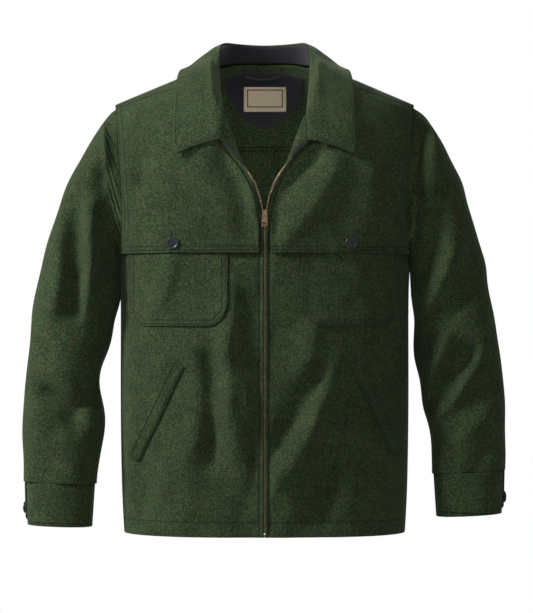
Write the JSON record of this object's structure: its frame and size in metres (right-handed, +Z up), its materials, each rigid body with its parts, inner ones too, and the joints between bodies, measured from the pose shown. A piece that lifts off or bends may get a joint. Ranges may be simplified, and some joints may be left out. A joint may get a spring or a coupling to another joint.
{
  "type": "shirt jacket",
  "caption": "Wool shirt jacket with a zip front, fold-down collar, buttoned front capes over patch pockets and slanted hand pockets.",
  "frame": {"origin": "middle of the neck at the height of the side neck points, where the wearer's shoulders carry the jacket", "axes": "+Z up, -Y out of the front, +X to the viewer's right, which is the wearer's left"},
  "size_m": [0.7695, 0.2612, 0.7857],
  "materials": {
    "wool": "napped heather wool",
    "navy_lining": "smooth twill",
    "satin": "satin",
    "label_weave": "woven",
    "zip_tape": "herringbone tape",
    "brass": "aged",
    "button": "polished"
  },
  "bodies": {
    "jacket": {"front_left": "wool", "front_right": "wool", "front_cape_left": "wool", "front_cape_right": "wool", "back": "wool", "back_yoke": "wool", "sleeve_left": "wool", "sleeve_right": "wool", "cuff_left": "wool", "cuff_right": "wool", "collar": "wool", "chest_pocket_left": "wool", "chest_pocket_right": "wool", "hand_pocket_welt_left": "wool", "hand_pocket_welt_right": "wool", "collar_stand_lining": "navy_lining", "back_neck_facing": "navy_lining", "hanger_loop": "satin", "neck_label": "label_weave", "zip_tape_left": "zip_tape", "zip_tape_right": "zip_tape", "zip_tape_top_left": "zip_tape", "zip_tape_top_right": "zip_tape", "zip_slider": "brass", "zip_retainer_box": "brass", "chest_button_left": "button", "chest_button_right": "button", "cuff_button_left": "button", "cuff_button_right": "button"},
    "pull_tab": {"pull_tab": "brass"}
  },
  "joints": [
    {"name": "tab_swing", "type": "hinge", "parent": "jacket", "child": "pull_tab", "pos_m": [0, -0.13157, -0.2493], "axis": [1, 0, 0], "range_deg": [-150, 0]}
  ]
}
